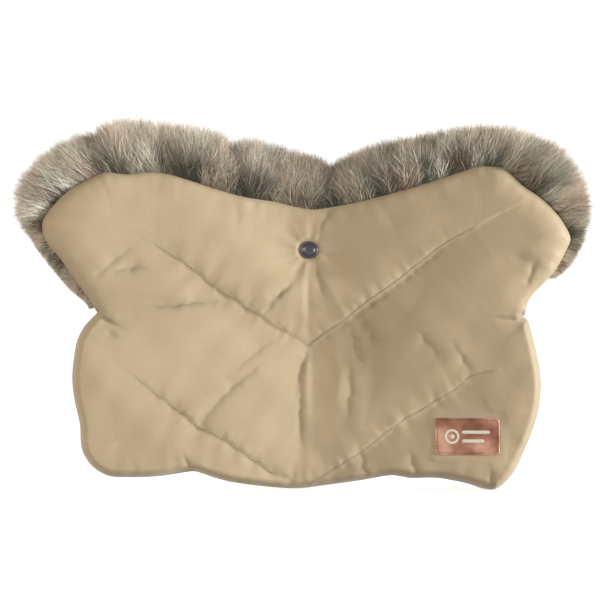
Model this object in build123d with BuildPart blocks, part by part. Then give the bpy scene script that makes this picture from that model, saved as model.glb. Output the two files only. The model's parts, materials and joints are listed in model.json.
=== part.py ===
"""Hand muff for a stroller handlebar: a padded pouch whose upper front and back flaps open at the mouth.

Frame: the origin is the middle of the handlebar that the muff hangs on. +X runs along the bar, +Z is up,
and the decorated front faces -Y. All lengths are in millimetres.
The soft layers are plain solids: each is a curved slab between two copies of one sheet, cut to an outline.
"""

import math
import os

from build123d import *

# ---- driving dimensions ----
NOTCH_X, NOTCH_Z = 182.0, -19.0  # where the side seam ends and the flap begins
CAVITY_LOBE, CAVITY_MIDDLE = 24.0, 18.5  # half of the free depth inside, at each hand and in the middle
VALLEY_HALF = 70.0  # the valley down the middle, from where the snap pulls the front in
WAIST_IN, WAIST_HALF = 4.0, 28.0  # the waist along the fold, between the two notches
SEAM_GAP = 0.8  # half of the depth left inside at a closed seam
SEAM_REACH, NOTCH_REACH = 45.0, 20.0  # how far from a closed seam the muff is at its full depth
STACK_THIN, STACK_FULL = 6.0, 15.5  # shell, padding and lining together, flattened and lofted
STACK_REACH = 32.0  # how far from a cut edge the padding is at its full loft
STACK_VALLEY, STACK_WAIST = 4.0, 5.0
SHELL, LINING, LAYER_GAP = 1.0, 2.0, 0.4
FOLD_GAP = 0.6  # between a flap and the pouch, along the fold
FUR_THIN, FUR_FULL = 7.0, 22.0  # the fur's depth at its edges and half way across
TAPE_WIDTH, TAPE_HALF = 7.0, 0.5  # the tape sewn between front and back round the pouch

SNAP_Z = 36.0
SNAP_GAP = 2.9  # half of the depth left inside where the snap holds both flaps together
SNAP_OUT = SNAP_GAP + STACK_THIN + 0.3  # from the middle plane to the cloth's outer side at the snap
SNAP_CAP_R, SNAP_CAP_RIM, SNAP_CAP_DOME = 7.5, 0.9, 2.4
SNAP_BACK_R, SNAP_BACK = 5.5, 1.0  # the plain rivet head on the back flap
SNAP_SOCKET_R, SNAP_BORE_R, SNAP_FLOOR, SNAP_LIP = 6.0, 3.7, 0.7, 0.9
SNAP_WASHER_R, SNAP_WASHER = 6.6, 0.7
SNAP_STUD_R, SNAP_STUD_BASE, SNAP_STUD_TIP = 5.5, 0.9, 1.1
SNAP_HEAD_R, SNAP_NECK_R = 2.2, 1.8
SNAP_POST_R, SNAP_HOLE_R = 1.9, 2.2
SNAP_SEAT_R, SNAP_WELL_R, SNAP_SEAT = 8.3, 6.9, 0.1  # the flattened places in front of and behind the cloth
SPRING_X, SPRING_R, SPRING_L = 2.85, 0.3, 8.0
SNAP_PINCH_X, SNAP_PINCH_R = 40.0, 36.0  # how wide the snap holds the flaps together and the cloth flat
SNAP_PINCH_FLAT, SNAP_PINCH_DOWN = 10.0, 13.0  # how far down it holds fully, then how fast it lets go

LABEL_X, LABEL_Z = 134.0, -122.5
LABEL_W, LABEL_H, LABEL_T, LABEL_CORNER = 54.0, 31.0, 1.2, 2.0
LABEL_SEW_IN = 2.2  # from the label's edge to its line of stitches
CARE_X, CARE_Z, CARE_W, CARE_H, CARE_T = -176.5, -72.0, 32.0, 25.0, 0.5
THREAD_W, THREAD_T, THREAD_OFF = 0.6, 0.4, 0.1  # a line of sewing: width, depth, distance from the cloth

SPAN_X, FLAP_TOP, POUCH_BOTTOM = 260.0, 165.0, -185.0
GRID, SHEET_TOL, SOFTENING = 8.0, 0.15, 2
BEYOND_FOLD = 10.0
FAR = 200.0

# ---- right halves of the outlines, in the XZ plane, from the middle outwards or upwards ----
FLAP_EDGE = [(0, 71), (60, 82), (104, 96), (138, 105), (165, 103), (200, 82), (224, 51), (208, 21), (190, 0)]
FUR_EDGE = [(0, 119), (34, 127), (68, 135), (104, 146), (150, 151), (196, 138), (236, 108), (248, 76)]
FUR_SIDE = [(248, 76), (240, 48), (222, 22), (203, 1), (190, -8)]
POUCH_SIDE = [(NOTCH_X, NOTCH_Z), (192, -28), (199, -47), (201, -76), (197, -106), (191, -131), (180, -153)]
POUCH_BASE = [(180, -153), (169, -163), (152, -166), (116, -158), (88, -156), (48, -163), (0, -169)]
CHEVRONS = [((0, -46), (138, 50)), ((0, -163), (150, -67))]


def mirrored(points):
    """The right half's points, then the left half's, in one run round the outline."""
    left = [(-x, z) for x, z in reversed(points)]
    return left + (points[1:] if points[0][0] == 0 else points)


def outline(edges):
    """A closed face in the XZ plane: each run of points is a spline, each pair of points a straight line."""
    with BuildSketch(Plane.XZ) as sketch:
        with BuildLine():
            for points in edges:
                if len(points) == 2:
                    Line(*points)
                else:
                    Spline(*points)
        make_face()
    return sketch.sketch


FLAP_FOLD = NOTCH_Z + FOLD_GAP / 2
POUCH_FOLD = NOTCH_Z - FOLD_GAP / 2
FLAP_SIDE = [(190, 0), (184, -10), (NOTCH_X, FLAP_FOLD)]



def inset(points, distance):
    """A run of points moved to the right of its own direction, which is towards the inside of the muff."""
    result = []
    for i, (x, z) in enumerate(points):
        (x0, z0), (x1, z1) = points[max(0, i - 1)], points[min(len(points) - 1, i + 1)]
        length = math.dist((x0, z0), (x1, z1))
        result.append((x + distance * (z1 - z0) / length, z - distance * (x1 - x0) / length))
    return result


def pouch_face(distance, top):
    """The pouch seen from the front, smaller by the distance all round but reaching up to that height."""
    side = inset([(x, min(z, POUCH_FOLD)) for x, z in POUCH_SIDE], distance)
    side[0] = (NOTCH_X - distance, POUCH_FOLD)
    base = inset(POUCH_BASE, distance)
    side[-1] = base[0] = ((side[-1][0] + base[0][0]) / 2, (side[-1][1] + base[0][1]) / 2)
    base[-1] = (0, POUCH_BASE[-1][1] + distance)
    edges = [side, mirrored(list(reversed(base))), [(-x, z) for x, z in side]]
    if top > POUCH_FOLD:
        edges += [[side[0], (side[0][0], top)], [(side[0][0], top), (-side[0][0], top)]]
        return outline(edges + [[(-side[0][0], top), (-side[0][0], POUCH_FOLD)]])
    return outline(edges + [[side[0], (-side[0][0], POUCH_FOLD)]])


flap_outline = outline(
    [
        mirrored(FLAP_EDGE),
        FLAP_SIDE,
        [(NOTCH_X, FLAP_FOLD), (-NOTCH_X, FLAP_FOLD)],
        [(-x, z) for x, z in FLAP_SIDE],
    ]
)
fur_outline = outline(
    [
        mirrored(FUR_EDGE),
        FUR_SIDE,
        [FUR_SIDE[-1], (-FUR_SIDE[-1][0], FUR_SIDE[-1][1])],
        [(-x, z) for x, z in FUR_SIDE],
    ]
)
pouch_outline = pouch_face(0, POUCH_FOLD)
inside_rim = pouch_face(SHELL + LAYER_GAP, NOTCH_Z + 5)
inside_layers = pouch_face(SHELL + LAYER_GAP, POUCH_FOLD)
inside_tape = pouch_face(TAPE_WIDTH, NOTCH_Z + 5)


# ---- how deep the soft layers stand in front of the middle plane ----
def bell(distance, half):
    """1 on the line and fading to 0 on both sides of it."""
    return math.exp(-((distance / half) ** 2))


def rise(distance, reach):
    """From 0 at a seam to 1 at reach, and on below 0 outside the seam, so that the sheet stays smooth."""
    return math.sin(math.pi / 2 * max(-1.0, min(1.0, distance / reach)))


def pinch(x, z):
    """1 at the snap and above it along the middle, 0 where the snap no longer pulls."""
    down = max(0.0, SNAP_Z - SNAP_PINCH_FLAT - z) / SNAP_PINCH_DOWN
    return math.exp(-((x / SNAP_PINCH_X) ** 4) - down**4)


def softened(depths):
    """Each depth averaged with its neighbours, which rounds the ridges where two seams are equally near."""
    last_row, last_column = len(depths) - 1, len(depths[0]) - 1
    result = []
    for j in range(last_row + 1):
        rows = [depths[max(0, j - 1)], depths[j], depths[j], depths[min(last_row, j + 1)]]
        down = [sum(row[i] for row in rows) / 4 for i in range(last_column + 1)]
        ends = [down[0]] + down + [down[-1]]
        result.append([(ends[i] + 2 * ends[i + 1] + ends[i + 2]) / 4 for i in range(last_column + 1)])
    return result


class Sheets:
    """The curved sheets of one half of the front, the flap or the pouch."""

    def __init__(self, face, closed_seam, low_z, high_z):
        self.face = face.face()
        self.edges = face.edges().filter_by(GeomType.BSPLINE)  # all but the straight one along the fold
        self.closed_seam = closed_seam
        self.low_z, self.high_z = low_z, high_z

    def from_edge(self, x, z):
        """Distance from the cloth's cut edge, negative outside it and the same on both sides of the fold."""
        z = min(z, POUCH_FOLD - 0.1) if self.closed_seam else max(z, FLAP_FOLD + 0.1)
        point = Vector(x, 0, z)
        distance = min(edge.distance_to(point) for edge in self.edges)
        return distance if self.face.is_inside(point, 1e-3) else -distance

    def from_closed_seam(self, x, z):
        """Distance from where front and back are sewn together: all round a pouch, at a flap's two ends."""
        if self.closed_seam:
            return self.from_edge(x, z)
        return math.hypot(abs(x) - NOTCH_X, z - NOTCH_Z)

    def cavity_depth(self, x, z):
        """How far the lining stands from the middle plane."""
        lobe = CAVITY_LOBE - (CAVITY_LOBE - CAVITY_MIDDLE) * bell(x, VALLEY_HALF)
        full = lobe - WAIST_IN * bell(z - NOTCH_Z, WAIST_HALF)
        reach = SEAM_REACH - (SEAM_REACH - NOTCH_REACH) * bell(z - NOTCH_Z, WAIST_HALF)
        free = SEAM_GAP + (full - SEAM_GAP) * rise(self.from_closed_seam(x, z), reach)
        return free + (SNAP_GAP - free) * pinch(x, z)

    def stack_depth(self, x, z):
        """Shell, padding and lining together: thin at every edge, at the snap and along the valley."""
        full = STACK_FULL - STACK_VALLEY * bell(x, VALLEY_HALF) - STACK_WAIST * bell(z - NOTCH_Z, WAIST_HALF)
        at_snap = math.exp(-((math.hypot(x, z - SNAP_Z) / SNAP_PINCH_R) ** 6))
        loft = rise(self.from_edge(x, z), STACK_REACH) * (1 - at_snap)
        return STACK_THIN + (full - STACK_THIN) * loft

    def fur_depth(self, x, z):
        """The fur's own depth, round in section between the seam and its free edge."""
        point = Vector(x, 0, z)
        inner = max(0.0, -self.from_edge(x, z))
        outer = min(edge.distance_to(point) for edge in fur_outline.edges().filter_by(GeomType.BSPLINE))
        across = inner / max(1.0, inner + outer) if fur_outline.face().is_inside(point, 1e-3) else 1.0
        return FUR_THIN + (FUR_FULL - FUR_THIN) * math.sin(math.pi * across)

    def sheet(self, *layers):
        """A curved face through the points that stand the summed layers in front of the middle plane."""
        columns, rows = round(2 * SPAN_X / GRID), round((self.high_z - self.low_z) / GRID)
        xs = [-SPAN_X + 2 * SPAN_X * i / columns for i in range(columns + 1)]
        zs = [self.low_z + (self.high_z - self.low_z) * j / rows for j in range(rows + 1)]
        depths = [[sum(layer(x, z) for layer in layers) for x in xs] for z in zs]
        for _ in range(SOFTENING):
            depths = softened(depths)
        points = [[Vector(x, -depths[j][i], z) for i, x in enumerate(xs)] for j, z in enumerate(zs)]
        return Face.make_surface_from_array_of_points(points, tol=SHEET_TOL)


def moved(face, forward):
    """The sheet, that much nearer to the front."""
    return face.moved(Location((0, -forward, 0)))


flap = Sheets(flap_outline, False, NOTCH_Z - BEYOND_FOLD, FLAP_TOP)
flap_inner = flap.sheet(flap.cavity_depth)
flap_outer = flap.sheet(flap.cavity_depth, flap.stack_depth)
fur_outer = flap.sheet(flap.cavity_depth, flap.fur_depth)
pouch = Sheets(pouch_outline, True, POUCH_BOTTOM, NOTCH_Z + BEYOND_FOLD)
pouch_inner = pouch.sheet(pouch.cavity_depth)
pouch_outer = pouch.sheet(pouch.cavity_depth, pouch.stack_depth)


def chevron_lines(chevrons):
    """A sketch of the sewing on both arms of each chevron."""
    with BuildSketch(Plane.XZ) as lines:
        for (x0, z0), (x1, z1) in chevrons:
            length, slope = math.dist((x0, z0), (x1, z1)), math.degrees(math.atan2(z1 - z0, x1 - x0))
            for side in (-1, 1):
                with Locations((side * (x0 + x1) / 2, (z0 + z1) / 2)):
                    SlotOverall(length + THREAD_W, THREAD_W, rotation=side * slope)
    return lines.sketch


# ---- front flap: cloth ----
# where the holes for the snap start, ahead of its seat
snap_front = Plane.XZ.offset(SNAP_OUT + STACK_THIN).location * Location((0, SNAP_Z, 0))

with BuildPart() as front_shell_upper:
    extrude(flap_outer, amount=SHELL, dir=(0, 1, 0))
    extrude(flap_outline, amount=FAR, both=True, mode=Mode.INTERSECT)
    with Locations(snap_front):
        CounterBoreHole(SNAP_HOLE_R, SNAP_SEAT_R, STACK_THIN + SNAP_SEAT, depth=4 * STACK_THIN)

with BuildPart() as front_padding_upper:
    extrude(moved(flap_outer, -SHELL - LAYER_GAP), amount=FAR, dir=(0, 1, 0))
    extrude(flap_outline, amount=FAR, both=True, mode=Mode.INTERSECT)
    extrude(moved(flap_inner, LINING + LAYER_GAP), amount=2 * FAR, dir=(0, 1, 0), mode=Mode.SUBTRACT)
    with Locations(snap_front):
        CounterBoreHole(SNAP_HOLE_R, SNAP_SEAT_R, STACK_THIN + SHELL + LAYER_GAP, depth=4 * STACK_THIN)

with BuildPart() as front_lining_upper:
    extrude(flap_inner, amount=LINING, dir=(0, -1, 0))
    extrude(flap_outline, amount=FAR, both=True, mode=Mode.INTERSECT)
    with Locations(snap_front):
        Hole(SNAP_HOLE_R, depth=4 * STACK_THIN)
    with BuildSketch(Plane.XZ.offset(SNAP_GAP + SNAP_SEAT)):
        with Locations((0, SNAP_Z)):
            Circle(SNAP_WELL_R)
    extrude(amount=-STACK_THIN, mode=Mode.SUBTRACT)

with BuildPart() as front_fur_trim:
    extrude(fur_outer, amount=FAR, dir=(0, 1, 0))
    extrude(fur_outline, amount=FAR, both=True, mode=Mode.INTERSECT)
    extrude(flap_outline, amount=FAR, both=True, mode=Mode.SUBTRACT)
    extrude(flap_inner, amount=2 * FAR, dir=(0, 1, 0), mode=Mode.SUBTRACT)

with BuildPart() as front_chevron_stitching_upper:
    extrude(moved(flap_outer, THREAD_OFF), amount=THREAD_T, dir=(0, -1, 0))
    extrude(chevron_lines(CHEVRONS[:1]), amount=FAR, both=True, mode=Mode.INTERSECT)
    extrude(flap_outline, amount=FAR, both=True, mode=Mode.INTERSECT)

# ---- pouch: cloth ----
with BuildPart() as shell_hollow:
    extrude(moved(pouch_outer, -SHELL), amount=FAR, dir=(0, 1, 0))
    extrude(inside_rim, amount=FAR, both=True, mode=Mode.INTERSECT)

with BuildPart() as front_shell_lower:
    extrude(pouch_outer, amount=FAR, dir=(0, 1, 0))
    extrude(pouch_outline, amount=FAR, mode=Mode.INTERSECT)
    extrude(pouch_outline, amount=SEAM_GAP / 2, mode=Mode.SUBTRACT)
    add(shell_hollow.part, mode=Mode.SUBTRACT)

with BuildPart() as front_padding_lower:
    extrude(moved(pouch_outer, -SHELL - LAYER_GAP), amount=FAR, dir=(0, 1, 0))
    extrude(inside_layers, amount=FAR, both=True, mode=Mode.INTERSECT)
    extrude(moved(pouch_inner, LINING + LAYER_GAP), amount=2 * FAR, dir=(0, 1, 0), mode=Mode.SUBTRACT)

with BuildPart() as front_lining_lower:
    extrude(pouch_inner, amount=LINING, dir=(0, -1, 0))
    extrude(inside_layers, amount=FAR, both=True, mode=Mode.INTERSECT)

with BuildPart() as perimeter_seam_tape:
    extrude(pouch_outline, amount=TAPE_HALF / 2, both=True)
    extrude(inside_tape, amount=TAPE_HALF, both=True, mode=Mode.SUBTRACT)

with BuildPart() as care_label:
    with Locations((CARE_X, 0, CARE_Z)):
        Box(CARE_W, CARE_T, CARE_H)
    fillet(care_label.edges().filter_by(Axis.Y).group_by(Axis.X)[-1], radius=2 * LABEL_CORNER)

with BuildPart() as front_chevron_stitching_lower:
    extrude(moved(pouch_outer, THREAD_OFF), amount=THREAD_T, dir=(0, -1, 0))
    extrude(chevron_lines(CHEVRONS), amount=FAR, both=True, mode=Mode.INTERSECT)
    extrude(pouch_outline, amount=FAR, both=True, mode=Mode.INTERSECT)

# ---- pouch: label ----
with BuildPart() as label_patch:
    extrude(moved(pouch_outer, THREAD_OFF), amount=LABEL_T, dir=(0, -1, 0))
    with BuildSketch(Plane.XZ):
        with Locations((LABEL_X, LABEL_Z)):
            RectangleRounded(LABEL_W, LABEL_H, LABEL_CORNER)
    extrude(amount=FAR, mode=Mode.INTERSECT)

with BuildPart() as label_emblem:
    extrude(moved(pouch_outer, THREAD_OFF + LABEL_T), amount=THREAD_T, dir=(0, -1, 0))
    with BuildSketch(Plane.XZ):
        with Locations((LABEL_X - 0.24 * LABEL_W, LABEL_Z)):
            Circle(0.2 * LABEL_H)
            Circle(0.14 * LABEL_H, mode=Mode.SUBTRACT)
            Circle(0.06 * LABEL_H)
        with Locations((LABEL_X + 0.13 * LABEL_W, LABEL_Z)):
            with GridLocations(0, 0.24 * LABEL_H, 1, 2):
                SlotOverall(0.44 * LABEL_W, 0.09 * LABEL_H)
    extrude(amount=FAR, mode=Mode.INTERSECT)

sewn_w, sewn_h = LABEL_W - 2 * LABEL_SEW_IN, LABEL_H - 2 * LABEL_SEW_IN
with BuildPart() as label_stitching:
    extrude(moved(pouch_outer, THREAD_OFF + LABEL_T), amount=THREAD_T, dir=(0, -1, 0))
    with BuildSketch(Plane.XZ):
        with Locations((LABEL_X, LABEL_Z)):
            Rectangle(sewn_w, sewn_h)
            Rectangle(sewn_w - 2 * THREAD_W, sewn_h - 2 * THREAD_W, mode=Mode.SUBTRACT)
    extrude(amount=FAR, mode=Mode.INTERSECT)

# ---- back: the same cloth, mirrored ----
with BuildPart() as back_shell_upper:
    mirror(front_shell_upper.part, about=Plane.XZ)
with BuildPart() as back_padding_upper:
    mirror(front_padding_upper.part, about=Plane.XZ)
with BuildPart() as back_lining_upper:
    mirror(front_lining_upper.part, about=Plane.XZ)
with BuildPart() as back_fur_trim:
    mirror(front_fur_trim.part, about=Plane.XZ)
with BuildPart() as back_chevron_stitching_upper:
    mirror(front_chevron_stitching_upper.part, about=Plane.XZ)
with BuildPart() as back_shell_lower:
    mirror(front_shell_lower.part, about=Plane.XZ)
with BuildPart() as back_padding_lower:
    mirror(front_padding_lower.part, about=Plane.XZ)
with BuildPart() as back_lining_lower:
    mirror(front_lining_lower.part, about=Plane.XZ)
with BuildPart() as back_chevron_stitching_lower:
    mirror(front_chevron_stitching_lower.part, about=Plane.XZ)

# ---- snap fastener: turned pieces on the axis along Y through (0, SNAP_Z) ----
snap_axis = Axis((0, 0, SNAP_Z), (0, 1, 0))
snap_plane = Plane.XY.offset(SNAP_Z)

with BuildPart() as snap_cap:
    with BuildSketch(snap_plane):
        with BuildLine():
            rim, top = SNAP_OUT + SNAP_CAP_RIM, SNAP_OUT + SNAP_CAP_RIM + SNAP_CAP_DOME - 1.0
            Polyline(
                (0, -top),
                (0, -SNAP_GAP + SNAP_WASHER),
                (SNAP_POST_R, -SNAP_GAP + SNAP_WASHER),
                (SNAP_POST_R, -SNAP_OUT),
                (SNAP_CAP_R, -SNAP_OUT),
                (SNAP_CAP_R, -rim),
            )
            ThreePointArc((SNAP_CAP_R, -rim), (0.86 * SNAP_CAP_R, -rim - 0.5), (0.7 * SNAP_CAP_R, -rim + 0.1))
            Spline((0.7 * SNAP_CAP_R, -rim + 0.1), (0.4 * SNAP_CAP_R, 0.25 * -rim - 0.75 * top), (0, -top))
        make_face()
    revolve(axis=snap_axis)

with BuildPart() as front_snap_washer:
    with BuildSketch(Plane.XZ.offset(SNAP_GAP - SNAP_WASHER)):
        with Locations((0, SNAP_Z)):
            Circle(SNAP_WASHER_R)
            Circle(SNAP_HOLE_R, mode=Mode.SUBTRACT)
    extrude(amount=SNAP_WASHER)

socket_back = SNAP_GAP - SNAP_WASHER
with BuildPart() as snap_socket:
    with BuildSketch(snap_plane):
        with BuildLine():
            Polyline(
                (0, -socket_back),
                (SNAP_SOCKET_R, -socket_back),
                (SNAP_SOCKET_R, SNAP_LIP),
                (SNAP_BORE_R, SNAP_LIP),
                (SNAP_BORE_R, -socket_back + SNAP_FLOOR),
                (0, -socket_back + SNAP_FLOOR),
                close=True,
            )
        make_face()
    revolve(axis=snap_axis)
    chamfer(snap_socket.faces().sort_by(Axis.Y)[-1].edges(), length=0.3)
    with Locations((-SPRING_X, 0, SNAP_Z), (SPRING_X, 0, SNAP_Z)):
        Cylinder(SPRING_R + 0.05, SPRING_L + 0.2, mode=Mode.SUBTRACT)

with BuildPart() as snap_socket_spring:
    with Locations((-SPRING_X, 0, SNAP_Z), (SPRING_X, 0, SNAP_Z)):
        Cylinder(SPRING_R, SPRING_L)

with BuildPart() as snap_stud:
    with BuildSketch(snap_plane):
        with BuildLine():
            base = socket_back - SNAP_STUD_BASE
            Polyline(
                (0, socket_back),
                (SNAP_STUD_R, socket_back),
                (SNAP_STUD_R, base),
                (SNAP_NECK_R, base),
                (SNAP_NECK_R, 0.1),
                (SNAP_HEAD_R, -0.3),
                (SNAP_HEAD_R, -0.7),
                (SNAP_NECK_R, -SNAP_STUD_TIP),
                (0, -SNAP_STUD_TIP),
                close=True,
            )
        make_face()
    revolve(axis=snap_axis)
    fillet(snap_stud.edges().filter_by(GeomType.CIRCLE).sort_by(Axis.Y)[0], radius=0.25)

with BuildPart() as back_snap_washer:
    mirror(front_snap_washer.part, about=Plane.XZ)

with BuildPart() as snap_back_rivet:
    with BuildSketch(Plane.XZ.offset(-SNAP_OUT)):
        with Locations((0, SNAP_Z)):
            Circle(SNAP_BACK_R)
    extrude(amount=-SNAP_BACK)
    fillet(snap_back_rivet.edges().sort_by(Axis.Y)[-1], radius=0.6 * SNAP_BACK)
    with BuildSketch(Plane.XZ.offset(-socket_back)):
        with Locations((0, SNAP_Z)):
            Circle(SNAP_POST_R)
    extrude(amount=-(SNAP_OUT - socket_back))

# ---- one STEP file per piece ----
os.makedirs("parts", exist_ok=True)
front_shell_lower.part.label = "front_shell_lower"
export_step(front_shell_lower.part, "parts/front_shell_lower.step")
front_padding_lower.part.label = "front_padding_lower"
export_step(front_padding_lower.part, "parts/front_padding_lower.step")
front_lining_lower.part.label = "front_lining_lower"
export_step(front_lining_lower.part, "parts/front_lining_lower.step")
back_shell_lower.part.label = "back_shell_lower"
export_step(back_shell_lower.part, "parts/back_shell_lower.step")
back_padding_lower.part.label = "back_padding_lower"
export_step(back_padding_lower.part, "parts/back_padding_lower.step")
back_lining_lower.part.label = "back_lining_lower"
export_step(back_lining_lower.part, "parts/back_lining_lower.step")
perimeter_seam_tape.part.label = "perimeter_seam_tape"
export_step(perimeter_seam_tape.part, "parts/perimeter_seam_tape.step")
care_label.part.label = "care_label"
export_step(care_label.part, "parts/care_label.step")
label_patch.part.label = "label_patch"
export_step(label_patch.part, "parts/label_patch.step")
label_emblem.part.label = "label_emblem"
export_step(label_emblem.part, "parts/label_emblem.step")
label_stitching.part.label = "label_stitching"
export_step(label_stitching.part, "parts/label_stitching.step")
front_chevron_stitching_lower.part.label = "front_chevron_stitching_lower"
export_step(front_chevron_stitching_lower.part, "parts/front_chevron_stitching_lower.step")
back_chevron_stitching_lower.part.label = "back_chevron_stitching_lower"
export_step(back_chevron_stitching_lower.part, "parts/back_chevron_stitching_lower.step")
front_shell_upper.part.label = "front_shell_upper"
export_step(front_shell_upper.part, "parts/front_shell_upper.step")
front_padding_upper.part.label = "front_padding_upper"
export_step(front_padding_upper.part, "parts/front_padding_upper.step")
front_lining_upper.part.label = "front_lining_upper"
export_step(front_lining_upper.part, "parts/front_lining_upper.step")
front_fur_trim.part.label = "front_fur_trim"
export_step(front_fur_trim.part, "parts/front_fur_trim.step")
front_chevron_stitching_upper.part.label = "front_chevron_stitching_upper"
export_step(front_chevron_stitching_upper.part, "parts/front_chevron_stitching_upper.step")
snap_cap.part.label = "snap_cap"
export_step(snap_cap.part, "parts/snap_cap.step")
front_snap_washer.part.label = "front_snap_washer"
export_step(front_snap_washer.part, "parts/front_snap_washer.step")
snap_socket.part.label = "snap_socket"
export_step(snap_socket.part, "parts/snap_socket.step")
snap_socket_spring.part.label = "snap_socket_spring"
export_step(snap_socket_spring.part, "parts/snap_socket_spring.step")
back_shell_upper.part.label = "back_shell_upper"
export_step(back_shell_upper.part, "parts/back_shell_upper.step")
back_padding_upper.part.label = "back_padding_upper"
export_step(back_padding_upper.part, "parts/back_padding_upper.step")
back_lining_upper.part.label = "back_lining_upper"
export_step(back_lining_upper.part, "parts/back_lining_upper.step")
back_fur_trim.part.label = "back_fur_trim"
export_step(back_fur_trim.part, "parts/back_fur_trim.step")
back_chevron_stitching_upper.part.label = "back_chevron_stitching_upper"
export_step(back_chevron_stitching_upper.part, "parts/back_chevron_stitching_upper.step")
snap_stud.part.label = "snap_stud"
export_step(snap_stud.part, "parts/snap_stud.step")
back_snap_washer.part.label = "back_snap_washer"
export_step(back_snap_washer.part, "parts/back_snap_washer.step")
snap_back_rivet.part.label = "snap_back_rivet"
export_step(snap_back_rivet.part, "parts/snap_back_rivet.step")
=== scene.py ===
"""Looks of the stroller handlebar hand muff: quilted cloth, fur trim, label, snap fastener, light and camera.

Shapes are worked out in millimetres, x along the bar and z up, as depths y in front of or behind the
middle plane.
"""

import json
import math

import bpy
import numpy as np
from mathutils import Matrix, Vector
from mathutils.geometry import delaunay_2d_cdt

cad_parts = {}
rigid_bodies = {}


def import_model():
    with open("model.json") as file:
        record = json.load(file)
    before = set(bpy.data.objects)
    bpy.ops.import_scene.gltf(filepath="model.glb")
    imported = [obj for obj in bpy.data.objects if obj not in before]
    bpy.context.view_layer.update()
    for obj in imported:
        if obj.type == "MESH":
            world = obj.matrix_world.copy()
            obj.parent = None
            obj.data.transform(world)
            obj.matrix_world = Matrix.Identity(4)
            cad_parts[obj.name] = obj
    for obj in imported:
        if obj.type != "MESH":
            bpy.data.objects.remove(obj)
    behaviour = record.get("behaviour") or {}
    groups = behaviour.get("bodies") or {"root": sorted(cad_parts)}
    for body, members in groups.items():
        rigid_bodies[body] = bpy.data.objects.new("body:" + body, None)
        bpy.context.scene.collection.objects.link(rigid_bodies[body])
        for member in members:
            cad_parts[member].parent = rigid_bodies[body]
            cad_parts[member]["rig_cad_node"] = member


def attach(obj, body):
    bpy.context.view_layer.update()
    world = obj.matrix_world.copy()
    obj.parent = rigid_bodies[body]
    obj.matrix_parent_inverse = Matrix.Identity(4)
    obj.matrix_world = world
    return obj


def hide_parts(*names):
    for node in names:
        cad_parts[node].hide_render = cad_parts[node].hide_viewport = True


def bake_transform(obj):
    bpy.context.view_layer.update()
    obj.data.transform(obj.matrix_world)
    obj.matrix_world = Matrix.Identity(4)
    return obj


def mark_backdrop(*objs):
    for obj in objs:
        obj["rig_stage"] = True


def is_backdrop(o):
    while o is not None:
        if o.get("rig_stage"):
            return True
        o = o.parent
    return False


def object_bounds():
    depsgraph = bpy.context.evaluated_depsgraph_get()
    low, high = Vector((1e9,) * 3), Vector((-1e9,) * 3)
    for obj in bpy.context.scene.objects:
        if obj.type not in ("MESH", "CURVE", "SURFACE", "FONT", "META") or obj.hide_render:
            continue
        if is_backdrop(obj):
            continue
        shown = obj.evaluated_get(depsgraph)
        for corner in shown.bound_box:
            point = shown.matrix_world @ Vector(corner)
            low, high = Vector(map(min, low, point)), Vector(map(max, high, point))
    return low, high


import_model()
cad_low, cad_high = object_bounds()
MM = 0.001

# ---------------------------------------------------------------- outlines
SEAM = [
    (-180, -17), (-185, -7), (-192, 2), (-205, 21.5), (-213, 32), (-223, 43), (-227, 58), (-219, 70),
    (-211, 79), (-200, 88), (-178, 100), (-169, 102), (-155, 100), (-139, 102), (-123, 102), (-107, 98),
    (-81, 89), (-57, 81), (-27, 76), (-3, 71), (9, 71), (34, 74), (64, 82), (97, 92), (121, 100),
    (138, 106), (148, 108), (163, 105), (167, 104), (181, 89), (194, 81), (206, 70), (214, 60), (222, 46),
    (219, 39), (213, 27), (207, 17), (200, 9), (189, -1.4), (184, -11), (183, -21),
]  # fmt: skip
BODY = [
    (183, -21), (187.5, -23), (191, -35), (195, -52), (198, -67), (199, -84), (196, -105), (190.5, -121),
    (185, -134), (178, -150), (172, -159), (163, -168), (156.5, -170), (146, -168), (135, -164),
    (120, -161), (107, -159), (86, -160), (78, -158), (69, -157), (49, -161), (35, -163), (14, -166),
    (-8, -169), (-29, -168), (-63, -164), (-80, -160), (-96, -154), (-101.5, -154), (-114, -156),
    (-126, -158), (-143, -159), (-166, -159), (-175, -157), (-186, -150), (-193.5, -139), (-196, -129),
    (-196, -113.5), (-200, -98), (-203, -81), (-203, -67), (-201, -52), (-199, -41), (-193, -29),
    (-186, -22), (-180, -17),
]  # fmt: skip
FUR = [
    (-178, -10), (-186, -7), (-203, 0), (-217, 15), (-230, 32), (-242, 50), (-249, 61), (-254.5, 74),
    (-251.5, 95), (-244, 101), (-238, 111), (-232, 120), (-209, 133), (-180, 146), (-156, 152),
    (-139, 153), (-129, 149), (-103, 146), (-81, 143), (-60, 132.5), (-46, 134), (-27, 130), (-3, 121),
    (17, 114), (24, 116.5), (46, 127), (58, 131.6), (78, 133.5), (109, 140), (139, 146.5), (169.5, 146),
    (193.5, 139), (212, 130), (224, 119.5), (236, 99), (241, 75), (240, 57), (234, 41), (227.5, 26.5),
    (221.5, 19), (209.5, 14), (204, 12),
]  # fmt: skip
NOTCH_X, NOTCH_Z = 182.0, -19.0
SNAP_Z, SNAP_OUT, SNAP_GAP = 36.0, 9.2, 2.9
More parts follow.
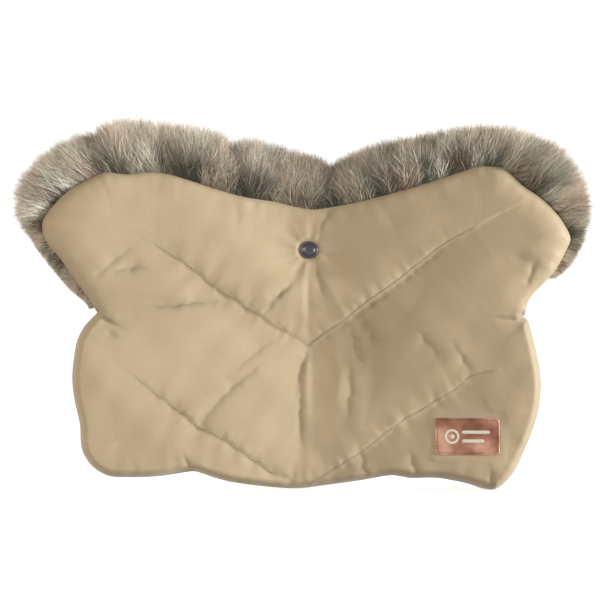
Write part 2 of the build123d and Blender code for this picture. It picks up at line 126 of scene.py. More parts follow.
STITCH_LINES = {
    "upper_left": [(-131, 40), (-97, 19), (-86, 8), (-54, -13), (-40, -22), (-23, -33), (0, -46)],
    "upper_right": [(0, -46), (16, -34), (31, -24), (41, -15), (56, -4), (76, 10), (97, 27), (113, 40),
                    (141, 55)],
    "lower_left": [(-147, -72), (-134, -84), (-114, -98), (-96, -114), (-83, -119), (-64.5, -131),
                   (-50, -141), (-36, -151), (-23, -158), (0, -164)],
    "lower_right": [(0, -164), (46, -136), (61, -123), (73.5, -114), (83, -107), (95, -101), (113.5, -89),
                    (128, -81), (136, -71), (156, -67)],
}  # fmt: skip


def smooth_line(points, step, rounds=2):
    """The points joined by a smooth line and sampled evenly, ends kept."""
    p = np.array(points, float)
    for _ in range(rounds):
        a, b = p[:-1], p[1:]
        mid = np.empty((2 * len(a), 2))
        mid[0::2], mid[1::2] = 0.75 * a + 0.25 * b, 0.25 * a + 0.75 * b
        p = np.vstack([p[:1], mid, p[-1:]])
    return resample(p, step)


def arc_lengths(p):
    return np.concatenate([[0], np.cumsum(np.linalg.norm(np.diff(p, axis=0), axis=1))])


def resample(p, step=None, count=None):
    s = arc_lengths(p)
    n = count or max(2, int(round(s[-1] / step)) + 1)
    t = np.linspace(0, s[-1], n)
    return np.column_stack([np.interp(t, s, p[:, k]) for k in range(p.shape[1])])


def to_line(q, line, chunk=4000):
    """For points q: distance to the line, the nearest place along it (mm) and the side (+ on its left)."""
    a, d = line[:-1], np.diff(line, axis=0)
    length = arc_lengths(line)
    dd = np.maximum((d**2).sum(1), 1e-9)
    out_d, out_s, out_side = np.empty(len(q)), np.empty(len(q)), np.empty(len(q))
    for i in range(0, len(q), chunk):
        v = q[i : i + chunk, None, :] - a[None]
        t = np.clip((v * d[None]).sum(2) / dd, 0, 1)
        r = v - t[..., None] * d[None]
        dist = (r**2).sum(2)
        k = dist.argmin(1)
        j = np.arange(len(k))
        out_d[i : i + chunk] = np.sqrt(dist[j, k])
        out_s[i : i + chunk] = length[k] + t[j, k] * np.sqrt(dd[k])
        out_side[i : i + chunk] = np.sign(d[k, 0] * v[j, k, 1] - d[k, 1] * v[j, k, 0])
    return out_d, out_s, out_side


def inside(q, loop):
    """Which points lie within the closed loop."""
    x, z = q[:, 0], q[:, 1]
    hit = np.zeros(len(q), bool)
    a, b = loop, np.roll(loop, -1, axis=0)
    for (x0, z0), (x1, z1) in zip(a, b):
        if z0 == z1:
            continue
        cross = ((z0 > z) != (z1 > z)) & (x < (x1 - x0) * (z - z0) / (z1 - z0) + x0)
        hit ^= cross
    return hit


seam_line = smooth_line(SEAM, 2.0)
body_line = smooth_line(BODY, 2.0)
fur_line = smooth_line(FUR, 2.0)
# clockwise seen from the front: left, over the top, right
rim_loop = np.vstack([seam_line[:-1], body_line[:-1]])


def shrunk(loop, distance):
    """The loop moved inwards by the distance, with points that would cross left out."""
    ahead, behind = np.roll(loop, -1, axis=0), np.roll(loop, 1, axis=0)
    t = ahead - behind
    t /= np.linalg.norm(t, axis=1)[:, None]
    moved = loop + distance * np.column_stack([t[:, 1], -t[:, 0]])
    d, _, _ = to_line(moved, np.vstack([loop, loop[:1]]))
    return moved[(d > 0.93 * distance) & inside(moved, loop)]


# ---------------------------------------------------------------- smooth noise
def waves(q, wavelength, seed, count=14):
    """Smooth noise of about that wavelength over points q of any dimension, between about -1 and 1."""
    r = np.random.default_rng(seed)
    total = np.zeros(len(q))
    for _ in range(count):
        k = r.normal(size=q.shape[1])
        k *= 2 * math.pi / wavelength * r.uniform(0.6, 1.4) / np.linalg.norm(k)
        total += np.sin(q @ k + r.uniform(0, 2 * math.pi))
    return total / math.sqrt(count / 2) * 0.6


# ---------------------------------------------------------------- depths
def bell(d, half):
    return np.exp(-((d / half) ** 2))


def rise(d, reach):
    return np.sin(math.pi / 2 * np.clip(d / reach, 0, 1))


def cavity(q, d_body):
    """Half of the free depth inside."""
    x, z = q[:, 0], q[:, 1]
    full = 24 - 6.5 * bell(x, 70) - 2.0 * bell(z - NOTCH_Z, 28)
    full -= 6.0 * bell(x, 60) * np.clip((-z - 40) / 90, 0, 1)
    reach = 45 - 25 * bell(z - NOTCH_Z, 28)
    notch = np.hypot(np.abs(x) - NOTCH_X, z - NOTCH_Z)
    seam = np.where(z > NOTCH_Z, notch, np.minimum(d_body, notch + 200))
    free = 0.8 + (full - 0.8) * rise(seam, reach)
    down = np.maximum(0, SNAP_Z - 8 - z) / 15
    pinch = np.exp(-((np.abs(x) / 34) ** 3) - down**3)
    return free + (SNAP_GAP - free) * pinch


# Each crease: its line, how high its ridge or deep its groove is, its width, and how it is shaped:
# "groove" is a furrow, "ridge" a welt, "step" a tuck with one steep side.
CREASES = [
    ([(22, 73), (15, 64), (9, 53), (7, 42)], -2.2, 4.5, "step"),
    ([(26, 72), (33, 66), (36, 60)], -0.8, 4, "groove"),
    ([(5, 27), (9, 10), (14, -5)], -2.0, 4.0, "step"),
    ([(14, 12), (22, -6), (30, -14)], 1.0, 7, "ridge"),
    ([(0, 26), (-1, 0), (-0.5, -40)], -1.2, 3.5, "groove"),
    ([(-5, 26), (-6, 4), (-5, -30)], 0.8, 5, "ridge"),
    ([(-12, 8), (-26, -2), (-38, -12)], -1.3, 4.5, "step"),
    ([(-18, 28), (-50, 22), (-70, 26)], 0.8, 9, "ridge"),
    ([(2, -44), (-4, -57), (-9, -72), (-10, -82)], -3.4, 9, "step"),
    ([(-7, -80), (-8, -105), (-7, -132)], -2.4, 8, "step"),
    ([(36, -32), (41, -48), (44, -62)], -2.6, 7, "step"),
    ([(46, -22), (53, -36), (60, -48)], -2.6, 7, "step"),
    ([(34, -62), (36, -80), (32, -108)], -2.2, 9, "step"),
    ([(54, -46), (62, -60), (78, -70)], 1.4, 9, "ridge"),
    ([(56, -22), (57, -66), (46, -118)], -3.2, 17, "groove"),
    ([(100, 6), (84, -20), (66, -44)], -1.4, 12, "groove"),
    ([(92, -32), (102, -44), (112, -56)], -1.6, 5, "step"),
    ([(122, -44), (130, -56), (137, -68)], -1.4, 5, "step"),
    ([(20, -52), (28, -66), (24, -96)], 1.6, 8, "ridge"),
    ([(45, -138), (47, -150), (50, -158)], -2.0, 4.5, "step"),
    ([(86, -138), (90, -147), (90, -157)], -2.2, 4.5, "step"),
    ([(155, -152), (155, -160), (152, -168)], -2.0, 4.5, "step"),
    ([(184, -24), (172, -23.5), (157, -22)], -2.0, 4, "step"),
    ([(192, 26), (188, 14), (184, 6)], -2.0, 4, "step"),
    ([(172, 32), (184, 27), (192, 26)], -1.0, 5, "groove"),
    ([(-178, 50), (-160, 56), (-140, 54), (-128, 47)], 1.2, 8, "ridge"),
    ([(-181, 12), (-166, 26), (-151, 38)], -1.3, 6, "step"),
    ([(-167, 16), (-150, 22), (-137, 20)], -1.8, 5, "step"),
    ([(-138, -11), (-118, -12), (-98, -9), (-80, -8)], -2.4, 5, "step"),
    ([(-152, -2), (-120, -1), (-96, -6)], 1.2, 8, "ridge"),
    ([(-40, -20), (-28, -6), (-14, 9)], -1.4, 4.5, "step"),
    ([(-62, -66), (-44, -50), (-26, -38)], -0.9, 6, "step"),
    ([(-88, -108), (-78, -94), (-62, -78), (-44, -64)], -1.4, 6, "step"),
    ([(-106, -138), (-104, -144), (-100, -152)], -1.5, 4.5, "step"),
    ([(-180, -16), (-174, -24), (-160, -30)], -2.4, 5, "step"),
    ([(-171, -33), (-166, -38), (-162, -40)], -1.6, 4, "groove"),
    ([(-120, 96), (-90, 84), (-50, 76)], 0.8, 6, "ridge"),
    ([(-64, 78), (-60, 66), (-62, 52)], -0.7, 5, "groove"),
    ([(60, 78), (70, 60), (82, 40)], -0.8, 8, "groove"),
]
BACK_CREASES = [
    ([(-(0.94 * x + 3 * math.sin(0.05 * z)), z + 4 * math.sin(0.03 * x)) for x, z in line], a, w, kind)
    for line, a, w, kind in CREASES
]


def crease_height(q, creases, shade=False):
    """How high the creases stand, or with shade how much painted shade darkens the cloth along them."""
    total = np.zeros(len(q))
    for i, (line, height, width, kind) in enumerate(creases):
        p = smooth_line(line, 3.0)
        near = (np.abs(q - p.mean(0)) < np.ptp(p, axis=0) / 2 + 3.5 * width).all(1)
        if not near.any():
            continue
        d, s, side = to_line(q[near], p)
        length = arc_lengths(p)[-1]
        t = s / length
        taper = np.sin(math.pi * np.clip(t * 0.9 + 0.05, 0, 1)) ** 0.7
        uneven = waves(np.column_stack([s]), 22, 300 + i) * (width < 8)
        side *= 1 if p[0, 1] >= p[-1, 1] else -1
        v = side * d / (width * (0.75 + 0.45 * t + 0.2 * uneven))
        if kind == "step":  # a tuck: it drops quickly and comes back slowly to the right
            v = v + 0.12 * waves(np.column_stack([s]), 13, 400 + i)
            shape = np.exp(-np.abs(v) / np.where(v > 0, 0.4, 0.9))
            # dark: where the painted shade lies across the crease
            dark = np.exp(-np.abs(v - 0.15) / np.where(v > 0.15, 0.55, 0.2))
        else:
            shape = np.exp(-np.abs(v) ** 1.3)
            dark = shape * (0.5 if width > 8 else 0.8)
        if shade:
            level = abs(p[-1, 0] - p[0, 0]) / length  # a level crease gets more painted shade than an upright one, which the light from the side hardly shades
            total[near] += np.clip(-height, 0, 2.4) * (0.08 + 0.11 * level) * taper * dark
        else:
            total[near] += height * taper * (0.9 + 0.3 * uneven) * shape
    return total


def painted_fold_shade(q, creases):
    """Painted shade: how much darker the cloth's colour is made where it folds in: creases, quilting lines,
    the closed seam and the seam along the fur.
    """
    dark = crease_height(q, creases, True)
    for i, points in enumerate(STITCH_LINES.values()):
        d, _, above = to_line(q, smooth_line(points, 2.0))
        # painted shade in each quilting line, and a wider band of painted shade below the two right-hand
        # lines
        dark += (0.07, 0.17, 0.06, 0.12)[i] * np.exp(-((d / 1.5) ** 2))
        dark += (0.0, 0.09, 0.0, 0.05)[i] * np.exp(-d / 14) * (above * d < 0.5)
    d_body, _, _ = to_line(q, body_line)
    d_seam, _, _ = to_line(q, seam_line)
    # painted shade along the closed seam, deeper on the right half where the key light strikes the rim, and a
    # thin painted shadow line where the cloth meets the fur
    dark += (0.14 + 0.14 * np.tanh(q[:, 0] / 80)) * np.exp(-((d_body / 9) ** 2)) + 0.2 * np.exp(-d_seam / 2.2)
    return np.clip(dark, 0, 0.45)


def quilting(q):
    """How far the stitches draw the cloth in: the panel above each line stands proud of the one below."""
    total = np.zeros(len(q))
    for i, points in enumerate(STITCH_LINES.values()):
        p = smooth_line(points, 2.0)
        d, s, above = to_line(q, p)
        length = arc_lengths(p)[-1]
        outer = s if i in (0, 2) else length - s  # distance from the outer end, where the sewing fades out
        fade = 0.2 + 0.8 * np.clip(outer / 45, 0, 1)
        drop, reach = ((2.6, 24), (9.5, 36), (2.4, 20), (4.6, 28))[i]
        high = 1.5 * np.exp(-d / 3.0) + 0.8 * np.exp(-((d / 13) ** 2))
        low = 2.3 * np.exp(-d / 2.2) + drop * (1 - np.exp(-d / 1.6)) * np.exp(-((d / reach) ** 1.5))
        side = 0.5 + 0.5 * np.tanh(above * d / 0.8)
        low = low * (0.6 + 0.4 * np.clip(np.abs(q[:, 0]) / 30, 0, 1))
        # each line keeps to its own half
        half = 0.5 + 0.5 * np.tanh(q[:, 0] * (1 if i in (1, 3) else -1) / 2.2)
        pull = -(high * side + low * (1 - side)) * fade * half
        flat = np.column_stack([s, d * 0.35])
        pucker = waves(flat, 8.5, 40 + i) * 0.42 * np.exp(-d / 6.0) * np.clip(d / 1.2, 0, 1)
        pucker += waves(flat, 19.0, 50 + i) * 0.75 * np.exp(-d / 15.0) * np.clip(d / 3, 0, 1)
        total += pull + pucker * fade * half
    return total


LABEL_X, LABEL_Z, LABEL_W, LABEL_H, LABEL_T = 134.0, -122.5, 54.0, 31.0, 1.2


def label_terms(q):
    u, v = (q[:, 0] - LABEL_X) / 27, (q[:, 1] - LABEL_Z) / 15.5
    return np.column_stack([np.ones(len(q)), u, v, u * v, u * u, v * v])


label_area = np.array(
    [(LABEL_X + a, LABEL_Z + b) for a in np.linspace(-27, 27, 19) for b in np.linspace(-15, 15, 11)]
)
label_shape = None


def outer_depth(q, creases, seed):
    """How far the cloth's outer side stands from the middle plane; the label calms the cloth below it."""
    depth = free_depth(q, creases, seed)
    if creases is not CREASES:
        return depth
    global label_shape
    if label_shape is None:
        below_label = free_depth(label_area, creases, seed)
        label_shape = np.linalg.lstsq(label_terms(label_area), below_label, rcond=None)[0]
    past_side = np.maximum(np.abs(q[:, 0] - LABEL_X) - LABEL_W / 2, 0)
    past_top = np.maximum(np.abs(q[:, 1] - LABEL_Z) - LABEL_H / 2, 0)
    off = np.hypot(past_side, past_top)
    calm = 1 - np.clip(off / 7.0, 0, 1) ** 1.5
    near = calm > 0
    depth[near] += (label_terms(q[near]) @ label_shape - depth[near]) * calm[near]
    return depth


def free_depth(q, creases, seed):
    """The cloth's depth from its padding, seams, quilting, snap and creases."""
    d_body, s_body, _ = to_line(q, body_line)
    d_seam, s_seam, _ = to_line(q, seam_line)
    x, z = q[:, 0], q[:, 1]
    edge = np.minimum(d_seam, d_body)
    to_middle = np.sqrt(x**2 + 7.0**2) - 7.0
    share = 1 - to_middle / 192
    valley = 0.05 * np.exp(-((to_middle / 40) ** 1.3)) + 0.475 * (share + np.sqrt(share**2 + 0.012))
    fold = 11.5 + 8.5 * bell(z, 26) + 19.0 * rise(-58 - z, 100)  # the bar passes at z = 0
    crest = 45.0 + 1.5 * np.tanh(x / 60)
    depth = crest - (crest - fold) * valley - 2.0 * bell(z - NOTCH_Z, 30) * (1 - valley)
    depth -= 4.0 * bell(x, 40) * np.clip((-z - 110) / 50, 0, 1)
    # the snap draws both flaps together, and the rim of the flap is thinner than its middle
    low = np.maximum(0, SNAP_Z - 6 - z) / 17
    pinch = np.exp(-((np.abs(x) / 30) ** 2.2) - low**3 - (np.maximum(0, z - SNAP_Z) / 60) ** 2)
    depth += (SNAP_OUT + 1.5 - depth) * pinch
    soft = np.clip(np.hypot(x, z - SNAP_Z) / 24, 0, 1) ** 1.5
    depth += quilting(q) * np.clip(edge / 12, 0, 1) * soft
    depth += 1.3 * waves(q, 100, seed) * np.clip(edge / 30, 0, 1) * soft
    depth += 0.4 * waves(q, 36, seed + 1) * np.clip(edge / 20, 0, 1) * soft
    depth += crease_height(q, creases) * np.clip(edge / 2.5, 0, 1)
    # gathers along the seams
    for d, s, n in ((d_body, s_body, seed + 2), (d_seam, s_seam, seed + 3)):
        along = np.column_stack([s, d * 0.3])
        depth += waves(along, 14, n) * 0.5 * np.exp(-d / 10) * np.clip(d / 3, 0, 1)
        depth += waves(along, 38, n + 9) * 0.9 * np.exp(-d / 20) * np.clip(d / 6, 0, 1)
    # short folds that the snap gathers
    r, angle = np.hypot(x, z - SNAP_Z), np.arctan2(z - SNAP_Z, x)
    spokes = np.sin(7 * angle + 0.6) + 0.7 * np.sin(11 * angle + 2.0)
    depth += spokes * 0.55 * np.exp(-((r - 17) ** 2) / 110) * (r > 8.5)
    # a tight round turn at the closed seam and a thinner rim along the fur
    closed = 0.96 * (1 - (1 - np.clip(d_body / 9, 0, 1)) ** 2.5) ** (1 / 2.1) + 0.04 * rise(d_body, 30)
    rim = 1 - 0.14 * np.exp(-d_seam / 3.5) - 0.06 * np.exp(-((d_seam / 18) ** 2))
    up = np.clip((z - NOTCH_Z + 6) / 14, 0, 1)
    up = up * up * (3 - 2 * up)
    depth = 0.25 + (depth - 0.25) * (closed * (1 - up) + up) * (1 - up + up * rim)
    seat = np.clip((r - 8.2) / 3.0, 0, 1)
    return np.where(r < 11.2, (SNAP_OUT - 0.15) * (1 - seat) + depth * seat, depth)


def inner_depth(q):
    """How far the lining's free side stands from the middle plane."""
    d_body, _, _ = to_line(q, body_line)
    z = q[:, 1]
    c = cavity(q, d_body)
    u = np.clip(d_body / 12, 0, 1)
    blend_up = np.clip((z - NOTCH_Z + 6) / 14, 0, 1)
    closed = u * (1 - blend_up) + blend_up
    c = 0.2 + (c - 0.2) * closed + 0.5 * waves(q, 60, 91) * np.clip(d_body / 20, 0, 1)
    return np.where(np.hypot(q[:, 0], z - SNAP_Z) < 9, np.minimum(c, SNAP_GAP + 0.2), c)


# ---------------------------------------------------------------- meshes
def make_mesh(name, verts, faces, smooth=True):
    """A mesh object from millimetre points and a list or array of faces."""
    mesh = bpy.data.meshes.new(name)
    mesh.from_pydata((np.asarray(verts) * MM).tolist(), [], [list(map(int, f)) for f in faces])
    mesh.update()
    if smooth:
        mesh.polygons.foreach_set("use_smooth", np.ones(len(mesh.polygons), bool))
    obj = bpy.data.objects.new(name, mesh)
    bpy.context.scene.collection.objects.link(obj)
    return obj


def cloth_grid(spacing, rings, inset=0.0):
    """Points spread inside the outline, with rings beside its edge, and the triangles that join them."""
    loop = rim_loop if inset == 0 else shrunk(rim_loop, inset)
    loop = resample(np.vstack([loop, loop[:1]]), spacing * 0.8)[:-1]
    points = [loop] + [shrunk(loop, r) for r in rings]
    rim = len(loop)
    xs = np.arange(-232, 232, spacing)
    zs = np.arange(-176, 116, spacing * 0.866)
    hexes = np.array([(x + (0.5 * spacing if j % 2 else 0), z) for j, z in enumerate(zs) for x in xs])
    d, _, _ = to_line(hexes, np.vstack([loop, loop[:1]]))
    hexes = hexes[inside(hexes, loop) & (d > (rings[-1] if rings else 0) + 0.55 * spacing)]
    points.append(hexes)
    q = np.vstack(points)
    border = [(i, (i + 1) % rim) for i in range(rim)]
    verts, _, faces, _, _, _ = delaunay_2d_cdt([Vector(p) for p in q], border, [], 1, 1e-5)
    out = np.array([(v.x, v.y) for v in verts])
    tri = np.array([f for f in faces if len(f) == 3])
    a, b, c = out[tri[:, 0]], out[tri[:, 1]], out[tri[:, 2]]
    area = (b[:, 0] - a[:, 0]) * (c[:, 1] - a[:, 1]) - (b[:, 1] - a[:, 1]) * (c[:, 0] - a[:, 0])
    tri[area < 0] = tri[area < 0][:, ::-1]
    return out, tri[np.abs(area) > 1e-6]


def cloth_object(name, q, tri, depth, side, thickness):
    """A sheet that stands that far in front (side -1) or behind (side 1), thickened towards the middle."""
    verts = np.column_stack([q[:, 0], side * depth, q[:, 1]])
    faces = tri if side < 0 else tri[:, ::-1]
    obj = make_mesh(name, verts, faces)
    if thickness:
        solid = obj.modifiers.new("thickness", "SOLIDIFY")
        solid.thickness, solid.offset = thickness * MM, -1.0
    return obj


def bend(obj):
    """Bakes the piece's placement into its mesh; the piece is not bent or tied to a flap."""
    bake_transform(obj)
    return obj


# ---------------------------------------------------------------- materials
class Nodes:
    """A short way to write a node material."""

    def __init__(self, name):
        self.material = bpy.data.materials.new(name)
        self.material.use_nodes = True
        self.tree = self.material.node_tree
        self.shader = self.tree.nodes["Principled BSDF"]

    def add(self, kind, **inputs):
        node = self.tree.nodes.new("ShaderNode" + kind)
        for key, value in inputs.items():
            if key.startswith("set_"):
                setattr(node, key[4:], value)
                continue
            numbered = key[0] == "i" and key[1:].isdigit()
            socket = node.inputs[int(key[1:]) if numbered else key.replace("_", " ")]
            if isinstance(value, bpy.types.NodeSocket):
                self.tree.links.new(value, socket)
            else:
                socket.default_value = value
        return node

    def link(self, output, name):
        self.tree.links.new(output, self.shader.inputs[name])

    def set(self, **values):
        for key, value in values.items():
            self.shader.inputs[key.replace("_", " ")].default_value = value

    def noise(self, scale, detail=3.0, stretch=None, roughness=0.5):
        where = self.add("TexCoord").outputs["Object"]
        if stretch:
            where = self.add("Mapping", i0=where, Scale=stretch).outputs[0]
        texture = self.add("TexNoise", Vector=where, Scale=scale, Detail=detail, Roughness=roughness)
        return texture.outputs["Fac"]

    def ramp(self, factor, stops):
        node = self.add("ValToRGB", Fac=factor)
        elements = node.color_ramp.elements
        while len(elements) < len(stops):
            elements.new(0.5)
        for element, (place, colour) in zip(elements, stops):
            element.position = place
            element.color = (*colour, 1)
        return node.outputs["Color"]

    def bump(self, height, strength, distance):
        node = self.add("Bump", Height=height, Strength=strength, Distance=distance)
        self.link(node.outputs["Normal"], "Normal")


def cloth_material(name, dark, light, weave=2600, rough=0.62, sheen=0.25, bump=0.25):
    m = Nodes(name)
    tint = m.ramp(m.noise(9, 4), [(0.3, dark), (0.7, light)])
    # painted shade: the attribute darkens the colour towards a tenth of the dark tone in creases, quilting
    # lines and along the seams
    painted_shade = m.add("Attribute", set_attribute_name="painted_fold_shade").outputs["Fac"]
    deep = tuple(0.1 * c for c in dark) + (1.0,)
    m.link(m.add("Mix", set_data_type="RGBA", i0=painted_shade, i6=tint, i7=deep).outputs[2], "Base Color")
    fine = m.noise(weave, 2)
    wrinkle = m.noise(160, 5, stretch=(1, 1, 1.6))
    both = m.add("Math", set_operation="MULTIPLY_ADD", i0=wrinkle, i1=3.0, i2=fine).outputs[0]
    m.bump(both, bump, 0.0004)
    m.link(m.add("MapRange", Value=fine, To_Min=rough - 0.06, To_Max=rough + 0.06).outputs[0], "Roughness")
    m.set(Sheen_Weight=sheen, Sheen_Roughness=0.45, Specular_IOR_Level=0.35)
    return m.material


shell_material = cloth_material("shell_polyester", (0.50, 0.385, 0.235), (0.53, 0.41, 0.255))
lining_material = cloth_material("lining_fleece", (0.52, 0.44, 0.33), (0.62, 0.53, 0.41), 900, 0.9, 0.6, 0.9)
padding_material = cloth_material(
    "padding_wadding", (0.75, 0.74, 0.7), (0.85, 0.84, 0.8), 700, 0.95, 0.3, 1.0
)
thread_material = cloth_material(
    "sewing_thread", (0.3, 0.225, 0.13), (0.38, 0.29, 0.175), 1500, 0.7, 0.2, 0.5
)
tape_material = cloth_material("binding_tape", (0.36, 0.27, 0.16), (0.42, 0.32, 0.2), 1800, 0.75, 0.2, 0.5)
care_material = cloth_material("care_tape", (0.78, 0.77, 0.72), (0.84, 0.83, 0.79), 2200, 0.5, 0.3, 0.3)


def metal_material(name, colour, rough, metallic=1.0):
    m = Nodes(name)
    grain = m.noise(900, 3, stretch=(1, 1, 6))
    low = tuple(0.8 * c for c in colour)
    m.link(m.ramp(grain, [(0.3, low), (0.7, colour)]), "Base Color")
    m.link(m.add("MapRange", Value=grain, To_Min=rough - 0.05, To_Max=rough + 0.08).outputs[0], "Roughness")
    m.bump(grain, 0.05, 0.0002)
    m.set(Metallic=metallic)
    return m.material


gunmetal = metal_material("gunmetal", (0.078, 0.074, 0.083), 0.3)
inner_metal = metal_material("gunmetal_inner", (0.1, 0.095, 0.105), 0.36)
spring_metal = metal_material("spring_wire", (0.55, 0.55, 0.57), 0.3)
washer_material = metal_material("washer_polymer", (0.03, 0.03, 0.03), 0.6, 0.0)


def fur_material(name):
    """Reads where a point lies along its hair, and how light and how warm its hair is; the hairs darken
    towards their roots, partly their own colour and partly painted shade.
    """
    m = Nodes(name)
    along, shade, warm = (
        m.add("Attribute", set_attribute_name=a).outputs["Fac"]
        for a in ("hair_along", "hair_shade", "hair_warm")
    )
    cool_hair = m.ramp(shade, [(0.0, (0.1, 0.105, 0.075)), (0.3, (0.3, 0.29, 0.22)),
                               (0.6, (0.66, 0.61, 0.48)), (1.0, (0.95, 0.9, 0.77))])  # fmt: skip
    warm_hair = m.ramp(shade, [(0.0, (0.17, 0.11, 0.075)), (0.33, (0.47, 0.33, 0.235)),
                               (0.65, (0.75, 0.58, 0.45)), (1.0, (0.95, 0.82, 0.68))])  # fmt: skip
    body = m.add("Mix", set_data_type="RGBA", i0=warm, i6=cool_hair, i7=warm_hair).outputs[2]
    # each hair darker towards its root: partly the hair's own dark root, partly painted shade deep in the
    # pile
    up = m.add("MapRange", Value=along, From_Min=0.0, From_Max=0.5, To_Min=0.5, To_Max=1.0).outputs[0]
    root_dark_and_shade = m.add("Mix", set_data_type="RGBA", set_blend_type="MULTIPLY", i0=1.0, i6=body,
                i7=m.add("CombineColor", Red=up, Green=up, Blue=up).outputs[0]).outputs[2]  # fmt: skip
    tips = m.add("MapRange", Value=along, From_Min=0.6, From_Max=1.0, To_Min=0.0, To_Max=0.45).outputs[0]
    tipped = m.add("Mix", set_data_type="RGBA", i0=tips, i6=root_dark_and_shade, i7=(0.92, 0.84, 0.71, 1)).outputs[2]
    m.link(tipped, "Base Color")
    m.set(Roughness=0.5, Sheen_Weight=0.3, Sheen_Roughness=0.4, Specular_IOR_Level=0.35)
    return m.material


pile_material = fur_material("fur_pile")
backing = Nodes("fur_backing")
root_shades = [(0.3, (0.075, 0.078, 0.058)), (0.7, (0.20, 0.20, 0.155))]
backing.link(backing.ramp(backing.noise(240, 5), root_shades), "Base Color")
backing.bump(backing.noise(500, 4, stretch=(1, 1, 0.3)), 1.0, 0.002)
backing.set(Roughness=0.9)

# ---------------------------------------------------------------- shells, linings, padding
fine_q, fine_tri = cloth_grid(1.7, [0.35, 0.9, 1.7, 2.8, 4.2, 6.0])
mid_q, mid_tri = cloth_grid(5.0, [1.5, 4.0], inset=1.2)
sides = (("front", -1, "front_flap", CREASES, 11), ("back", 1, "back_flap", BACK_CREASES, 31))
for label, side, flap, creases, seed in sides:
    depth = outer_depth(fine_q, creases, seed)
    shell = cloth_object(f"{label}_shell", fine_q, fine_tri, depth, side, 0.8)
    # the painted shade of the folds, kept on the shell for its material
    painted_shade = shell.data.attributes.new("painted_fold_shade", "FLOAT", "POINT")
    painted_shade.data.foreach_set("value", painted_fold_shade(fine_q, creases).astype(np.float32))
    shell.data.materials.append(shell_material)
    bend(shell)
    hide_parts(f"{label}_shell_upper", f"{label}_shell_lower")

    free = inner_depth(mid_q)
    around = [(0, 0), (3, 0), (-3, 0), (0, 3), (0, -3)]
    room = np.min([outer_depth(mid_q + np.array(o), creases, seed) for o in around], axis=0)
    free = np.minimum(free, np.maximum(0.2, room - 5.2))
    lining = cloth_object(f"{label}_lining", mid_q, mid_tri, free + 1.6, side, 1.6)
    lining.data.materials.append(lining_material)
    bend(lining)
    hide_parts(f"{label}_lining_upper", f"{label}_lining_lower")

    top, low = np.maximum(room - 2.6, free + 1.9), free + 1.8
    n = len(mid_q)
    sheet_top = np.column_stack([mid_q[:, 0], side * top, mid_q[:, 1]])
    sheet_low = np.column_stack([mid_q[:, 0], side * low, mid_q[:, 1]])
    outward = mid_tri if side < 0 else mid_tri[:, ::-1]
    edges = {}
    for a, b, c in outward:
        for e in ((a, b), (b, c), (c, a)):
            edges[e] = edges.get(e, 0) + 1
    rim_edges = [(a, b) for a, b in edges if (b, a) not in edges]
    walls = [(b, a, a + n, b + n) for a, b in rim_edges]
    faces = [tuple(f) for f in outward] + [tuple(f[::-1] + n) for f in outward] + walls
    padding = make_mesh(f"{label}_padding", np.vstack([sheet_top, sheet_low]), faces)
    padding.data.materials.append(padding_material)
    bend(padding)
    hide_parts(f"{label}_padding_upper", f"{label}_padding_lower")


# the rim of each flap: cloth turned over from the shell to the lining
rim_path = resample(seam_line, 2.5)
t = np.gradient(rim_path, axis=0)
t /= np.linalg.norm(t, axis=1)[:, None]
rim_out = np.column_stack([-t[:, 1], t[:, 0]])
for label, side, flap, creases, seed in sides:
    top = outer_depth(rim_path - 0.3 * rim_out, creases, seed)
    low = np.minimum(inner_depth(rim_path - 2.5 * rim_out), np.maximum(0.2, top - 5.2)) + 0.8
    arcs = []
    for k in range(9):
        a = math.pi * k / 8
        bulge = 1.1 * math.sin(a) ** 1.5 - 0.7
        deep = (top - 0.5 + low) / 2 + (top - 0.5 - low) / 2 * math.cos(a)
        p = rim_path + rim_out * bulge
        arcs.append(np.column_stack([p[:, 0], side * deep, p[:, 1]]))
    n = len(rim_path)
    faces = [
        (k * n + i, k * n + i + 1, (k + 1) * n + i + 1, (k + 1) * n + i)
        for k in range(8)
        for i in range(n - 1)
    ]
    faces = faces if side > 0 else [f[::-1] for f in faces]
    turned = make_mesh(f"{label}_flap_rim", np.vstack(arcs), faces)
    solid = turned.modifiers.new("thickness", "SOLIDIFY")
    solid.thickness, solid.offset = 0.7 * MM, -1.0
    turned.data.materials.append(shell_material)
    bend(turned)


# ---------------------------------------------------------------- fur trim
def evened(v, rounds=6):
    v = v.copy()
    for _ in range(rounds):
        v[1:-1] = (v[:-2] + 2 * v[1:-1] + v[2:]) / 4
    return v


def fur_path():
    """Points along the fur's seam, their outward directions, the fur's width and the depth of its middle."""
    seam = resample(seam_line[(arc_lengths(seam_line) > 4)], 2.5)
    seam = seam[~((seam[:, 0] > 150) & (seam[:, 1] < 14))]
    t = evened(np.gradient(seam, axis=0), 14)
    t /= np.linalg.norm(t, axis=1)[:, None]
    outward = np.column_stack([-t[:, 1], t[:, 0]])
    a, b = fur_line[:-1], np.diff(fur_line, axis=0)
    width = np.full(len(seam), np.nan)
    for i, (p, n) in enumerate(zip(seam, outward)):
        det = n[0] * -b[:, 1] + n[1] * b[:, 0]
        det = np.where(np.abs(det) < 1e-9, 1e-9, det)
        r = a - p
        far = (r[:, 0] * -b[:, 1] + r[:, 1] * b[:, 0]) / det
        at = (n[0] * r[:, 1] - n[1] * r[:, 0]) / det
        good = far[(far > 0) & (far < 90) & (at >= 0) & (at <= 1)]
        if len(good):
            width[i] = good.min()
    known = ~np.isnan(width)
    width = np.interp(np.arange(len(seam)), np.flatnonzero(known), width[known])
    width[0] = min(width[0], 10)
    cloth = outer_depth(seam - 5 * outward, CREASES, 11)
    return seam, outward, evened(width), evened(np.clip(cloth - 6.5, 6.0, 27.0), 10)


fur_seam, fur_out, fur_width, fur_middle = fur_path()
FUR_SECTION = 20


def fur_size(width, middle):
    """Half the backing's width and half its depth."""
    return 0.29 * width + 1.8, np.minimum(np.clip(0.2 * width, 2.2, 7.5), middle - 1.0)


